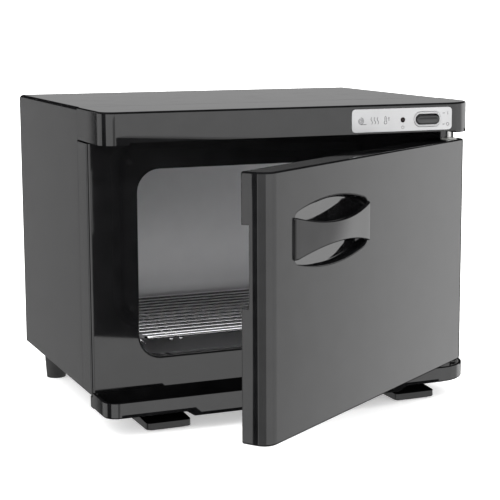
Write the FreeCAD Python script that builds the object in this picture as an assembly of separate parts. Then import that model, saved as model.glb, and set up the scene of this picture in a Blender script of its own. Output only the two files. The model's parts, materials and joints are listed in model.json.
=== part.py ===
import FreeCAD, Part
import math
import os

# Counter-top hot towel cabinet: a heated chamber behind a glossy hinged door.
#
# Millimetres, +Z up, the front looks along -Y. The origin is on the standing surface, under the middle
# of the whole object as it stands with its door part open. Shapes are drawn with the fascia's front at
# y = 0 and the door closed, then put in place when they are saved.

V = FreeCAD.Vector

# ---- driving dimensions -------------------------------------------------------------------------
CASE_W = 350.0            # over the side panels
CASE_D = 275.0            # fascia front to rear panel
CASE_H = 270.0            # standing surface to top
SIDE_BOTTOM = 27.0        # lower edge of the side panels
CORNER_R = 12.0           # vertical front corner of fascia and drip tray, free side
HINGE_CORNER_R = 34.0     # the same corner above and below the hinge
SHEET = 1.2               # painted steel sheet
WALL = 2.5                # moulded plastic wall
GAP = 0.1                 # air between parts that are screwed or clipped together

FASCIA_H = 25.0           # control fascia above the door
FASCIA_LIP = 2.0          # its ends hang this much lower
FASCIA_LIP_W = 24.0
SEAM_Y = 72.0             # joint between the front mouldings and the steel casing
FRAME_Y = 44.0            # face that the door closes onto
FRAME_T = 3.0
FRAME_TOP = 241.5
COLLAR_DEPTH = 9.0        # the frame's collar around the chamber mouth

MOUTH_W = 263.0           # chamber mouth
MOUTH_Z0 = 55.5
MOUTH_Z1 = 218.0
MOUTH_R = 20.0
LINER_T = 1.0
LINER_BACK = 240.0

DOOR_T = 24.0
DOOR_FREE_X = 168.0       # free end of the door, from the middle of the cabinet
DOOR_HINGE_X = 170.5      # hinge end
DOOR_Z0 = 32.4
DOOR_Z1 = 236.0
DOOR_FREE_R = 11.0        # outer vertical edge at the free end
DOOR_HINGE_R = 11.5       # at the hinge end
DOOR_REST = 34.7          # degrees open as it stands
DOOR_RIM = 21.0           # solid rim round the door's foam pocket
HINGE_X = 156.0
HINGE_Y = 22.2
PIN_R = 2.5
PIN_CLEARANCE = 0.05      # running fit in the door bushes
BUSH_R = 5.0
BUSH_LENGTH = 13.0
BUSH_FLANGE_R = 7.0

GRIP_X = -75.5            # middle of the handle
GRIP_Z = 183.5
CUP_HALF_W = 57.4         # barrel-shaped opening of the finger bowl
CUP_HALF_H = 27.0
CUP_CORNER_R = 8.0
CUP_ARC_R = 200.0         # its top and bottom edges
CUP_DEPTH = 15.0
GRIP_BULGE = 8.0          # how far the grip stands proud in the middle
GRIP_END_PROUD = 3.0      # and at its ends
GRIP_T = 4.0
GRIP_END_R = 2.5
GRIP_END_HALF = 16.2      # the grip is this half-height at its ends
GRIP_WAIST_HALF = 8.3     # and this in the middle

GASKET_W = 8.0
GASKET_OUTER_X = 143.0
GASKET_Z0 = 44.5
GASKET_Z1 = 229.0
GASKET_R = 26.0

PLATE_X0 = 47.5           # silver control plate
PLATE_X1 = 146.0
PLATE_Z0 = 246.4
PLATE_Z1 = 266.4
PLATE_T = 0.8
PLATE_PROUD = 0.3
LAMP_X = 97.0
CONTROL_Z = 256.2
ROCKER_X = 121.5
ROCKER_W = 23.0
ROCKER_H = 9.0
ROCKER_PIVOT_Y = 5.0
ROCKER_PIN_R = 1.0
ROCKER_REST = 6.0         # degrees that the rocker leans at rest
SWITCH_W = 27.0
SWITCH_H = 13.4

TRAY_TOP = 29.5
TRAY_END_Z = 16.5
TRAY_MID_Z = 12.0
TRAY_MID_X = 98.0
TRAY_STEP = 7.0
TRAY_BACK = 43.5
TRAY_LIP_BACK = 49.5      # a lower ledge behind, under the frame
TRAY_LIP_TOP = 26.0
TONGUE_X = 150.0
TONGUE_W = 12.0
TONGUE_BACK = 92.0

FOOT_X = 118.0            # flat front feet
FOOT_W = 40.0
FOOT_FRONT = 9.0
FOOT_BACK = 76.0
PAD_T = 1.5
REAR_FOOT_X = 158.0
REAR_FOOT_Y = 227.0

RACK_Z = 69.0
RACK_X = 125.0
RACK_Y0 = 60.5
RACK_Y1 = 228.0
RACK_WIRE_R = 2.0
RACK_ROD_R = 1.3
RACK_ROD_STEP = 12.8

VENT_X = 95.0             # two banks of cooling slots in the rear panel
VENT_Z = 190.0
VENT_STEP = 9.0
GLAND_X = 120.0
GLAND_Z = 55.0
GLAND_BORE_R = 3.5
GLAND_LENGTH = 15.0
GLAND_BARREL_R = 6.0
GLAND_FLANGE = 4.0
GLAND_FLANGE_R = 9.0

THERMOSTAT_X = 60.0       # parts behind and under the liner
SENSOR_Z = 130.0
TERMINAL_X = 121.0
TERMINAL_Z = 84.0
TERMINAL_PITCH = 11.0
WIRE_SLEEVE_R = 2.2
WIRE_BEND_R = 9.0

# ---- sizes that follow ---------------------------------------------------------------------------
HALF_W = CASE_W / 2
FASCIA_Z0 = CASE_H - FASCIA_H
PANEL_Y = CASE_D - 1.6                    # rear panel's inner face
COLLAR_Y = FRAME_Y + FRAME_T + COLLAR_DEPTH
MOUTH_X = MOUTH_W / 2
DOOR_FRONT = HINGE_Y - DOOR_T / 2
DOOR_BACK = HINGE_Y + DOOR_T / 2
PIVOT = V(HINGE_X, HINGE_Y, 0)
ROCKER_AXIS = V(ROCKER_X, ROCKER_PIVOT_Y, CONTROL_Z)
BASE_Z0 = SIDE_BOTTOM + SHEET + 0.4
BASE_Z1 = BASE_Z0 + SHEET
BRACKET_T = 1.5
LOW_BRACKET_Z = BASE_Z1 + GAP
TOP_BRACKET_Z = FASCIA_Z0 + WALL + GAP

# The free corner of the open door is the foremost point; the cord gland's flange is the rearmost.
OPEN = math.radians(DOOR_REST)
FREE_CENTRE_X = -DOOR_FREE_X + DOOR_FREE_R - HINGE_X
FREE_CENTRE_Y = DOOR_FRONT + DOOR_FREE_R - HINGE_Y
FRONT_REACH = (HINGE_Y + FREE_CENTRE_X * math.sin(OPEN) + FREE_CENTRE_Y * math.cos(OPEN) - DOOR_FREE_R)
REAR_REACH = CASE_D + GLAND_FLANGE
PLACE = V(0, -(FRONT_REACH + REAR_REACH) / 2, 0)


# ---- shape helpers --------------------------------------------------------------------------------
def box(x0, x1, y0, y1, z0, z1):
    return Part.makeBox(x1 - x0, y1 - y0, z1 - z0, V(x0, y0, z0))


def rod(start, end, radius):
    return Part.makeCylinder(radius, (end - start).Length, start, end - start)


def join(shapes):
    whole = shapes[0]
    for shape in shapes[1:]:
        whole = whole.fuse(shape)
    return whole.removeSplitter()


def mirrored(shape):
    return shape.mirror(V(0, 0, 0), V(1, 0, 0))


def both_sides(shape):
    return Part.makeCompound([mirrored(shape), shape])


PLANES = {
    "XY": (lambda u, v, w: V(u, v, w), V(0, 0, 1)),
    "XZ": (lambda u, v, w: V(u, w, v), V(0, 1, 0)),
    "YZ": (lambda u, v, w: V(w, u, v), V(1, 0, 0)),
}


def rounded_wire(corners, plane, level):
    """Closed outline through (u, v, radius) corners, each rounded by its radius."""
    to_3d = PLANES[plane][0]
    starts, ends, arcs = [], [], []
    count = len(corners)
    for i, (u, v, radius) in enumerate(corners):
        here = V(u, v, 0)
        before = V(*corners[i - 1][:2], 0) - here
        after = V(*corners[(i + 1) % count][:2], 0) - here
        if radius == 0:
            starts.append(here)
            ends.append(here)
            arcs.append(None)
            continue
        before.normalize()
        after.normalize()
        half = before.getAngle(after) / 2
        reach = radius / math.tan(half)
        inward = before + after
        inward.normalize()
        centre = here + inward * (radius / math.sin(half))
        starts.append(here + before * reach)
        ends.append(here + after * reach)
        arcs.append(centre - inward * radius)
    edges = []
    for i in range(count):
        if arcs[i] is not None:
            three = [to_3d(p.x, p.y, level) for p in (starts[i], arcs[i], ends[i])]
            edges.append(Part.Arc(*three).toShape())
        start, end = ends[i], starts[(i + 1) % count]
        if (end - start).Length > 1e-6:
            line = Part.LineSegment(to_3d(start.x, start.y, level), to_3d(end.x, end.y, level))
            edges.append(line.toShape())
    return Part.Wire(edges)


def prism(corners, plane, low, high):
    """Solid with that rounded outline, from low to high along the plane's normal."""
    face = Part.Face(rounded_wire(corners, plane, low))
    return face.extrude(PLANES[plane][1] * (high - low))


def rounded_block(u0, u1, v0, v1, radius, plane, low, high):
    corners = [(u0, v0, radius), (u1, v0, radius), (u1, v1, radius), (u0, v1, radius)]
    return prism(corners, plane, low, high)


def barrel_wire(half_w, half_h, y):
    """Outline with upright sides, rounded corners and gently arched top and bottom, round the grip."""
    corner_x = half_w - CUP_CORNER_R
    tilt = math.asin(corner_x / (CUP_ARC_R - CUP_CORNER_R))
    corner_z = half_h - CUP_ARC_R + (CUP_ARC_R - CUP_CORNER_R) * math.cos(tilt)

    def on_corner(angle):
        return corner_x + CUP_CORNER_R * math.sin(angle), corner_z + CUP_CORNER_R * math.cos(angle)

    low_end, middle, high_end = on_corner(math.pi / 2), on_corner((math.pi / 2 + tilt) / 2), on_corner(tilt)

    def at(point, side_x, side_z):
        return V(GRIP_X + side_x * point[0], y, GRIP_Z + side_z * point[1])

    edges = []
    for side_x, side_z in ((1, 1), (-1, 1), (-1, -1), (1, -1)):
        points = [at(low_end, side_x, side_z), at(middle, side_x, side_z), at(high_end, side_x, side_z)]
        if side_x * side_z < 0:
            points.reverse()
        edges.append(Part.Arc(*points).toShape())
        if side_x == side_z:
            crown = V(GRIP_X, y, GRIP_Z + side_z * half_h)
            edges.append(Part.Arc(points[2], crown, at(high_end, -side_x, side_z)).toShape())
        else:
            edges.append(Part.LineSegment(points[2], at(low_end, side_x, -side_z)).toShape())
    return Part.Wire(edges)


def barrel_plug(inset_front, inset_back, y0, y1):
    """Plug of that outline from y0 to y1; each inset is (x, z), smaller than the opening."""
    wires = [barrel_wire(CUP_HALF_W - inset_front[0], CUP_HALF_H - inset_front[1], y0),
             barrel_wire(CUP_HALF_W - inset_back[0], CUP_HALF_H - inset_back[1], y1)]
    return Part.makeLoft(wires, True)


def fillet_where(shape, radius, wanted):
    """Rounds the edges whose middle point satisfies wanted."""
    edges = []
    for edge in shape.Edges:
        if wanted(edge.valueAt((edge.FirstParameter + edge.LastParameter) / 2), edge):
            edges.append(edge)
    return shape.makeFillet(radius, edges)


def near(value, target):
    return abs(value - target) < 0.05


def screw(head, direction, head_r, shank_r, length, head_t=1.8):
    """Pan-head screw: head is the point under the head, direction the way the shank goes."""
    shank = rod(head, head + direction * length, shank_r)
    cap = rod(head - direction * head_t, head, head_r)
    return shank.fuse(cap).removeSplitter()


# ---- cabinet body ---------------------------------------------------------------------------------
def outer_casing():
    """Steel wrap: top and both sides, with feet flanges turned in along the bottom."""
    y0, y1 = SEAM_Y + 0.3, PANEL_Y - GAP

    def outline(inset, bottom, radius):
        x = HALF_W - inset
        return [(-x, bottom, 0), (x, bottom, 0), (x, CASE_H - inset, radius), (-x, CASE_H - inset, radius)]

    wrap = prism(outline(0, SIDE_BOTTOM, 4.0), "XZ", y0, y1)
    wrap = wrap.cut(prism(outline(SHEET, SIDE_BOTTOM - 1, 4.0 - SHEET), "XZ", y0 - 1, y1 + 1))
    flange = box(HALF_W - 13, HALF_W - SHEET / 2, y0, y1, SIDE_BOTTOM, SIDE_BOTTOM + SHEET)
    return join([wrap, flange, mirrored(flange)])


def rear_panel():
    """Steel back with a flange that fits inside the casing, cooling slots and the cord gland's hole."""
    x, z0, z1 = HALF_W, SIDE_BOTTOM, CASE_H
    corners = [(-x, z0, 0), (x, z0, 0), (x, z1, 4.0), (-x, z1, 4.0)]
    plate = prism(corners, "XZ", PANEL_Y, CASE_D)
    inset = SHEET + 0.3
    flange_y = PANEL_Y - 10
    outer = rounded_block(-x + inset, x - inset, BASE_Z1 + 0.3, z1 - inset, 3.0, "XZ", flange_y, PANEL_Y)
    inner = rounded_block(-x + inset + SHEET, x - inset - SHEET, BASE_Z1 + 1.5, z1 - inset - SHEET, 2.0,
                          "XZ", flange_y, PANEL_Y)
    panel = plate.fuse(outer.cut(inner))
    for middle in (-VENT_X, VENT_X):
        for row in range(6):
            z = VENT_Z + row * VENT_STEP
            slot = rounded_block(middle - 32, middle + 32, z, z + 3.2, 1.59, "XZ", PANEL_Y - 1, CASE_D + 1)
            panel = panel.cut(slot)
    hole = rod(V(GLAND_X, PANEL_Y - 1, GLAND_Z), V(GLAND_X, CASE_D + 1, GLAND_Z), GLAND_BARREL_R + 0.2)
    return panel.cut(hole).removeSplitter()


def base_pan():
    """Steel floor that carries the feet, the tray guides and the lower hinge bracket."""
    x = HALF_W - WALL - 0.3
    plate = box(-x, x, FRAME_Y + FRAME_T + 0.3, PANEL_Y - GAP, BASE_Z0, BASE_Z1)
    vents = [rounded_block(-60 + 30 * i, -42 + 30 * i, 120, 180, 4.0, "XY", BASE_Z0 - 1, BASE_Z1 + 1)
             for i in range(5)]
    for vent in vents:
        plate = plate.cut(vent)
    return plate


def front_frame():
    """Moulded surround: the face the door closes onto, its side returns and the chamber collar."""
    x = HALF_W
    corners = [(-x, FRAME_Y, 3.0), (x, FRAME_Y, 3.0), (x, SEAM_Y, 0), (-x, SEAM_Y, 0)]
    block = prism(corners, "XY", SIDE_BOTTOM, FRAME_TOP)
    inner = box(-x + WALL, x - WALL, FRAME_Y + FRAME_T, SEAM_Y + 1, SIDE_BOTTOM - 1, FRAME_TOP + 1)
    shell = block.cut(inner)
    top = box(-x + 1, x - 1, FRAME_Y + 1, SEAM_Y, FRAME_TOP - WALL, FRAME_TOP)
    collar = rounded_block(-MOUTH_X - WALL, MOUTH_X + WALL, MOUTH_Z0 - WALL, MOUTH_Z1 + WALL, MOUTH_R + WALL,
                           "XZ", FRAME_Y + 1, COLLAR_Y)
    mouth = rounded_block(-MOUTH_X, MOUTH_X, MOUTH_Z0, MOUTH_Z1, MOUTH_R, "XZ", FRAME_Y - 1, COLLAR_Y + 1)
    frame = join([shell, top, collar]).cut(mouth)
    frame = fillet_where(frame, 1.8, lambda p, e: near(p.y, FRAME_Y) and abs(p.x) < MOUTH_X + 1
                         and MOUTH_Z0 - 1 < p.z < MOUTH_Z1 + 1)
    slot = box(HINGE_X - 16, HINGE_X + 14, FRAME_Y - 1, FRAME_Y + FRAME_T + 1,
               LOW_BRACKET_Z - 0.2, LOW_BRACKET_Z + BRACKET_T + 0.2)
    return frame.cut(slot)


def control_fascia():
    """Moulded hood over the door: front, top and ends, with pockets for the plate, lamp and switch."""
    x = HALF_W
    corners = [(-x, 0, CORNER_R), (x, 0, HINGE_CORNER_R), (x, SEAM_Y, 0), (-x, SEAM_Y, 0)]
    hood = prism(corners, "XY", FASCIA_Z0, CASE_H)
    lips = prism(corners, "XY", FASCIA_Z0 - FASCIA_LIP, FASCIA_Z0)
    step = x - FASCIA_LIP_W
    lips = lips.cut(prism([(-step - 1.6, FASCIA_Z0 - 3, 0), (step + 1.6, FASCIA_Z0 - 3, 0),
                           (step, FASCIA_Z0 + 1, 0), (-step, FASCIA_Z0 + 1, 0)], "XZ", -1, SEAM_Y + 1))
    lips = lips.cut(box(-x + WALL, x - WALL, FRAME_Y - 1, SEAM_Y + 1, FASCIA_Z0 - 3, FASCIA_Z0 + 1))
    hood = join([hood, lips])
    hood = fillet_where(hood, 1.8, lambda p, e: near(p.z, CASE_H) and p.y < SEAM_Y - 0.1)
    inner = [(-x + WALL, WALL, CORNER_R - WALL), (x - WALL, WALL, HINGE_CORNER_R - WALL),
             (x - WALL, SEAM_Y + 1, 0), (-x + WALL, SEAM_Y + 1, 0)]
    hood = hood.cut(prism(inner, "XY", FASCIA_Z0 + WALL, CASE_H - WALL))
    hood = hood.cut(box(-x + WALL, x - WALL, FRAME_Y + 6, SEAM_Y + 1, FASCIA_Z0 - 1, FASCIA_Z0 + WALL + 1))
    pocket = rounded_block(PLATE_X0 - 0.15, PLATE_X1 + 0.15, PLATE_Z0 - 0.15, PLATE_Z1 + 0.15, 3.6,
                           "XZ", -1, PLATE_T - PLATE_PROUD)
    switch_hole = box(ROCKER_X - SWITCH_W / 2 - 0.2, ROCKER_X + SWITCH_W / 2 + 0.2, -1, WALL + 1,
                      CONTROL_Z - SWITCH_H / 2 - 0.2, CONTROL_Z + SWITCH_H / 2 + 0.2)
    lamp_hole = rod(V(LAMP_X, -1, CONTROL_Z), V(LAMP_X, WALL + 1, CONTROL_Z), 2.2)
    pin_hole = rod(V(HINGE_X, HINGE_Y, FASCIA_Z0 - 4), V(HINGE_X, HINGE_Y, FASCIA_Z0 + WALL + 1), PIN_R + 0.5)
    for tool in (pocket, switch_hole, lamp_hole, pin_hole):
        hood = hood.cut(tool)
    return hood


def chamber_liner():
    """Thin aluminium tub with rounded corners, open to the front."""
    x, z0, z1 = MOUTH_X + WALL, MOUTH_Z0 - WALL, MOUTH_Z1 + WALL
    radius = MOUTH_R + WALL
    tub = rounded_block(-x, x, z0, z1, radius, "XZ", COLLAR_Y + 0.2, LINER_BACK)
    hollow = rounded_block(-x + LINER_T, x - LINER_T, z0 + LINER_T, z1 - LINER_T, radius - LINER_T,
                           "XZ", COLLAR_Y - 1, LINER_BACK - LINER_T)
    return tub.cut(hollow)


def insulation_jacket():
    """Fibre blanket round the liner, with room behind for the thermostat and below for the heater."""
    jacket = rounded_block(-160, 160, 36, 239, 10, "XZ", SEAM_Y + 2, 256)
    hollow = rounded_block(-MOUTH_X - 4.5, MOUTH_X + 4.5, 47, MOUTH_Z1 + 4.5, MOUTH_R, "XZ", SEAM_Y, 251)
    return jacket.cut(hollow)


def heater_mat():
    """Flat silicone heating mat under the liner's floor."""
    top = MOUTH_Z0 - WALL - GAP
    return rounded_block(-108, 108, 78, 224, 8, "XY", top - 2.0, top)


def thermostat():
    """Bimetal disc thermostat on the liner's back, with its two tabs."""
    x, y, z = THERMOSTAT_X, LINER_BACK + GAP, SENSOR_Z
    flange = rod(V(x, y, z), V(x, y + 1.2, z), 11)
    body = rod(V(x, y, z), V(x, y + 7, z), 8)
    tabs = [box(x + dx - 3, x + dx + 3, y + 6, y + 9.5, z - 0.4, z + 0.4) for dx in (-5, 5)]
    return join([flange, body, *tabs])


def thermal_fuse():
    """One-shot fuse in its clip, beside the thermostat."""
    y, z = LINER_BACK + GAP + 3, SENSOR_Z
    body = rod(V(-12, y, z), V(12, y, z), 2.4)
    clip = box(-6, 6, y - 3, y + 3.2, z - 3.6, z + 3.6)
    return body.fuse(clip).removeSplitter()


def terminal_block():
    """Three-way screw terminal on the inside of the rear panel."""
    x, y1, z = TERMINAL_X, PANEL_Y - GAP, TERMINAL_Z
    block = box(x - 17, x + 17, y1 - 10, y1, z - 8, z + 8)
    for dx in (-TERMINAL_PITCH, 0, TERMINAL_PITCH):
        block = block.cut(rod(V(x + dx, y1 - 11, z), V(x + dx, y1 - 5, z), 2.6))
    return block


def wiring_harness():
    """Sleeved wires from the switch, back over the insulation and down to the terminal block."""
    x, z, back = ROCKER_X, CONTROL_Z, PANEL_Y - 6
    slant = WIRE_BEND_R * (1 - math.sqrt(0.5))
    start = V(x, 24, z)
    bend_start = V(x, back - WIRE_BEND_R, z)
    bend_middle = V(x, back - slant, z - slant)
    bend_end = V(x, back, z - WIRE_BEND_R)
    end = V(x, back, TERMINAL_Z + 8.2)
    path = Part.Wire([Part.LineSegment(start, bend_start).toShape(),
                      Part.Arc(bend_start, bend_middle, bend_end).toShape(),
                      Part.LineSegment(bend_end, end).toShape()])
    section = Part.Wire([Part.makeCircle(WIRE_SLEEVE_R, start, V(0, 1, 0))])
    return path.makePipeShell([section], True, False)


def cord_gland():
    """Bushed gland in the rear panel for the mains lead."""
    centre = V(GLAND_X, 0, GLAND_Z)
    inner_end = CASE_D + GLAND_FLANGE - GLAND_LENGTH
    barrel = rod(centre + V(0, inner_end, 0), centre + V(0, CASE_D, 0), GLAND_BARREL_R)
    flange = rod(centre + V(0, CASE_D, 0), centre + V(0, CASE_D + GLAND_FLANGE, 0), GLAND_FLANGE_R)
    bore = rod(centre + V(0, CASE_D - 20, 0), centre + V(0, CASE_D + 6, 0), GLAND_BORE_R)
    return join([barrel, flange]).cut(bore)


def gland_nut():
    """Hexagonal nut that clamps the gland from inside."""
    y1 = PANEL_Y - GAP
    corners = []
    for i in range(6):
        angle = math.radians(60 * i + 30)
        corners.append((GLAND_X + 9.5 * math.cos(angle), GLAND_Z + 9.5 * math.sin(angle), 0))
    nut = prism(corners, "XZ", y1 - 4, y1)
    return nut.cut(rod(V(GLAND_X, y1 - 6, GLAND_Z), V(GLAND_X, y1 + 1, GLAND_Z), GLAND_BARREL_R + 0.05))


# ---- controls ---------------------------------------------------------------------------------------
def control_plate():
    """Silver plate let into the fascia, with holes for the lamp and the rocker switch."""
    y0, y1 = -PLATE_PROUD, PLATE_T - PLATE_PROUD
    plate = rounded_block(PLATE_X0, PLATE_X1, PLATE_Z0, PLATE_Z1, 3.5, "XZ", y0, y1)
    half_w, half_h = SWITCH_W / 2 + 0.15, SWITCH_H / 2 + 0.15
    hole = rounded_block(ROCKER_X - half_w, ROCKER_X + half_w, CONTROL_Z - half_h, CONTROL_Z + half_h,
                         half_h - 0.01, "XZ", y0 - 1, y1 + 1)
    lamp = rod(V(LAMP_X, y0 - 1, CONTROL_Z), V(LAMP_X, y1 + 1, CONTROL_Z), 2.2)
    return plate.cut(hole).cut(lamp)


def switch_housing():
    """Switch body behind the fascia with a slim oblong bezel at the front."""
    x0, x1 = ROCKER_X - SWITCH_W / 2, ROCKER_X + SWITCH_W / 2
    z0, z1 = CONTROL_Z - SWITCH_H / 2, CONTROL_Z + SWITCH_H / 2
    bezel = rounded_block(x0, x1, z0, z1, SWITCH_H / 2 - 0.01, "XZ", -0.9, WALL + 1)
    body = box(x0, x1, WALL + 0.1, 20, z0, z1)
    rim = 0.9
    pocket = rounded_block(x0 + rim, x1 - rim, z0 + rim, z1 - rim, SWITCH_H / 2 - rim - 0.01, "XZ", -2, 12)
    tabs = [box(ROCKER_X + dx - 2.5, ROCKER_X + dx + 2.5, 20, 23.6, CONTROL_Z - 0.4, CONTROL_Z + 0.4)
            for dx in (-8, 8)]
    return join([bezel.fuse(body).cut(pocket), *tabs])


def switch_pivot():
    """Cross pin that the rocker turns on."""
    reach = SWITCH_W / 2 - 1.0
    return rod(ROCKER_AXIS - V(reach, 0, 0), ROCKER_AXIS + V(reach, 0, 0), ROCKER_PIN_R)


def rocker_switch():
    """Oblong rocker, drawn level and then leaned to its rest side."""
    x0, x1 = ROCKER_X - ROCKER_W / 2, ROCKER_X + ROCKER_W / 2
    z0, z1 = CONTROL_Z - ROCKER_H / 2, CONTROL_Z + ROCKER_H / 2
    button = rounded_block(x0, x1, z0, z1, ROCKER_H / 2 - 0.01, "XZ", -1.6, 7.5)
    dish = Part.makeCylinder(26, ROCKER_W + 4, V(x0 - 2, -27.0, CONTROL_Z), V(1, 0, 0))
    reach = V(ROCKER_W, 0, 0)
    bore = rod(ROCKER_AXIS - reach, ROCKER_AXIS + reach, ROCKER_PIN_R + PIN_CLEARANCE)
    button = button.cut(dish).cut(bore)
    button.rotate(ROCKER_AXIS, V(1, 0, 0), ROCKER_REST)
    return button


def indicator_lens():
    """Small domed lamp lens."""
    stem = rod(V(LAMP_X, -PLATE_PROUD, CONTROL_Z), V(LAMP_X, 4, CONTROL_Z), 2.0)
    ball = Part.makeSphere(2.6, V(LAMP_X, 1.36, CONTROL_Z))
    dome = ball.common(box(LAMP_X - 3, LAMP_X + 3, -3, -PLATE_PROUD, CONTROL_Z - 3, CONTROL_Z + 3))
    bore = rod(V(LAMP_X, 1, CONTROL_Z), V(LAMP_X, 5, CONTROL_Z), 1.5)
    return join([stem, dome]).cut(bore)


def indicator_led():
    """Light-emitting diode on its little board behind the lens."""
    bulb = rod(V(LAMP_X, 1.3, CONTROL_Z), V(LAMP_X, 6, CONTROL_Z), 1.4)
    board = box(LAMP_X - 6, LAMP_X + 6, 6, 7.6, CONTROL_Z - 5, CONTROL_Z + 5)
    return bulb.fuse(board).removeSplitter()


# ---- tray, feet and rack -----------------------------------------------------------------------------
def tray_section(inset, top, end_z, mid_z, front, back):
    """One full-width trough block: shallow ends and a deeper middle."""
    x = HALF_W - inset
    plan = [(-x, front, CORNER_R - inset), (x, front, HINGE_CORNER_R - inset), (x, back, 2.0),
            (-x, back, 2.0)]
    ends = prism(plan, "XY", end_z, top)
    mid = TRAY_MID_X - inset / 2
    step = mid + TRAY_STEP
    profile = [(-step, end_z + 0.5, 0), (-step, end_z, 0), (-mid, mid_z, 0),
               (mid, mid_z, 0), (step, end_z, 0), (step, end_z + 0.5, 0)]
    return join([ends, prism(profile, "XZ", front, back)])


def drip_tray():
    """Slide-in trough along the foot of the door, with a tongue at each end that runs in the guides."""
    outer = tray_section(0, TRAY_TOP, TRAY_END_Z, TRAY_MID_Z, 0, TRAY_BACK)
    outer = fillet_where(outer, 1.2, lambda p, e: near(p.y, 0) and p.z < TRAY_END_Z + 0.4 and e.Length > 3)
    inner = tray_section(WALL, TRAY_TOP + 1, TRAY_END_Z + WALL, TRAY_MID_Z + WALL, WALL, TRAY_BACK - WALL)
    tongue = box(TONGUE_X - TONGUE_W / 2, TONGUE_X + TONGUE_W / 2, TRAY_BACK - 1, TONGUE_BACK, 18, 21)
    lip = rounded_block(-HALF_W, HALF_W, TRAY_BACK - 3, TRAY_LIP_BACK, 1.0, "XY", TRAY_END_Z, TRAY_LIP_TOP)
    return join([outer.cut(inner), lip.cut(inner), tongue, mirrored(tongue)])


def tray_guides():
    """Two channels under the base pan that carry the tray's tongues."""
    outer = box(TONGUE_X - 9, TONGUE_X + 9, 50, 97, 15, BASE_Z0 - GAP)
    slot = box(TONGUE_X - 6.5, TONGUE_X + 6.5, 49, TONGUE_BACK + 1, 17.5, 21.5)
    return both_sides(outer.cut(slot))


def front_foot():
    """Flat foot that reaches forward under the tray and rises to the base pan behind it."""
    side = [(FOOT_FRONT, PAD_T, 0), (FOOT_BACK, PAD_T, 3.0), (FOOT_BACK, BASE_Z0 - GAP, 0),
            (52, BASE_Z0 - GAP, 0), (52, 12.5, 3.0), (42, 9.0, 0), (FOOT_FRONT, 7.2, 0)]
    wedge = prism(side, "YZ", FOOT_X - FOOT_W / 2, FOOT_X + FOOT_W / 2)
    plan = rounded_block(FOOT_X - FOOT_W / 2, FOOT_X + FOOT_W / 2, FOOT_FRONT, FOOT_BACK, 4.0, "XY", 0, 40)
    return wedge.common(plan)


def front_foot_pads():
    """Rubber pads under the front feet."""
    pad = rounded_block(FOOT_X - 17, FOOT_X + 17, FOOT_FRONT + 4, FOOT_BACK - 4, 3.0, "XY", 0, PAD_T)
    return both_sides(pad)


def rear_foot():
    """Tapered rubber foot."""
    cone = Part.makeCone(9.0, 11.0, SIDE_BOTTOM - GAP, V(REAR_FOOT_X, REAR_FOOT_Y, 0), V(0, 0, 1))
    return cone.cut(rod(V(REAR_FOOT_X, REAR_FOOT_Y, -1), V(REAR_FOOT_X, REAR_FOOT_Y, 8), 3.6))


def wire_rack():
    """Chrome wire shelf: a rounded rim, cross rods, two pairs of runners and four short legs."""
    x, y0, y1, z = RACK_X, RACK_Y0, RACK_Y1, RACK_Z
    outline = [(0, y0, 0), (x, y0, 12), (x, y1, 12), (-x, y1, 12), (-x, y0, 12)]
    section = Part.Wire([Part.makeCircle(RACK_WIRE_R, V(0, y0, z), V(1, 0, 0))])
    pieces = [rounded_wire(outline, "XY", z).makePipeShell([section], True, False)]
    count = int((y1 - y0) / RACK_ROD_STEP)
    step = (y1 - y0) / count
    for i in range(1, count):
        y = y0 + i * step
        pieces.append(rod(V(-x, y, z), V(x, y, z), RACK_ROD_R))
    for runner_x in (-98.0, -89.0, 89.0, 98.0):
        low = z - RACK_ROD_R - 1.2
        pieces.append(rod(V(runner_x, y0 - 1.0, low), V(runner_x, y1 + 1.0, low), 1.5))
    for leg_x in (-1, 1):
        for leg_y in (y0 + 20, y1 - 20):
            foot = V(leg_x * (x - 9), leg_y, MOUTH_Z0 - WALL + LINER_T + 2.4)
            pieces.append(rod(V(leg_x * x, leg_y, z), foot, 1.8))
    return join(pieces)


# ---- door ---------------------------------------------------------------------------------------------
def pocket_outline(extra):
    x = DOOR_FREE_X - DOOR_RIM + extra
    return (-x, x, DOOR_Z0 + 10 - extra, DOOR_Z1 - 10 + extra)


def door_shell():
    """Moulded door: front skin, deep rim, solid hinge stile, finger pull in the free edge."""
    free, hinge = -DOOR_FREE_X, DOOR_HINGE_X
    corners = [(free, DOOR_FRONT, DOOR_FREE_R), (hinge, DOOR_FRONT, DOOR_HINGE_R),
               (hinge, DOOR_BACK, 3.0), (free, DOOR_BACK, 1.2)]
    shell = prism(corners, "XY", DOOR_Z0, DOOR_Z1)
    shell = fillet_where(shell, 1.6, lambda p, e: (near(p.z, DOOR_Z0) or near(p.z, DOOR_Z1))
                         and p.y < DOOR_BACK - 0.5)
    x0, x1, z0, z1 = pocket_outline(0)
    shell = shell.cut(rounded_block(x0, x1, z0, z1, 6.0, "XZ", DOOR_FRONT + WALL, DOOR_BACK + 1))
    pull = rounded_block(free - 10, free + 18, 135, 197, 4.0, "XZ", DOOR_BACK - 7, DOOR_BACK + 1)
    shell = shell.cut(pull)
    shell = shell.cut(barrel_plug((0, 0), (0, 0), DOOR_FRONT - 1, DOOR_FRONT + WALL + 1))
    for z0, z1 in ((DOOR_Z0 - 1, DOOR_Z0 + BUSH_LENGTH), (DOOR_Z1 - BUSH_LENGTH, DOOR_Z1 + 1)):
        shell = shell.cut(rod(V(HINGE_X, HINGE_Y, z0), V(HINGE_X, HINGE_Y, z1), BUSH_R))
    return shell


def door_inner_panel():
    """Flat lining that closes the back of the door."""
    x0, x1, z0, z1 = pocket_outline(-0.2)
    return rounded_block(x0, x1, z0, z1, 5.8, "XZ", DOOR_BACK - WALL, DOOR_BACK)


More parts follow.
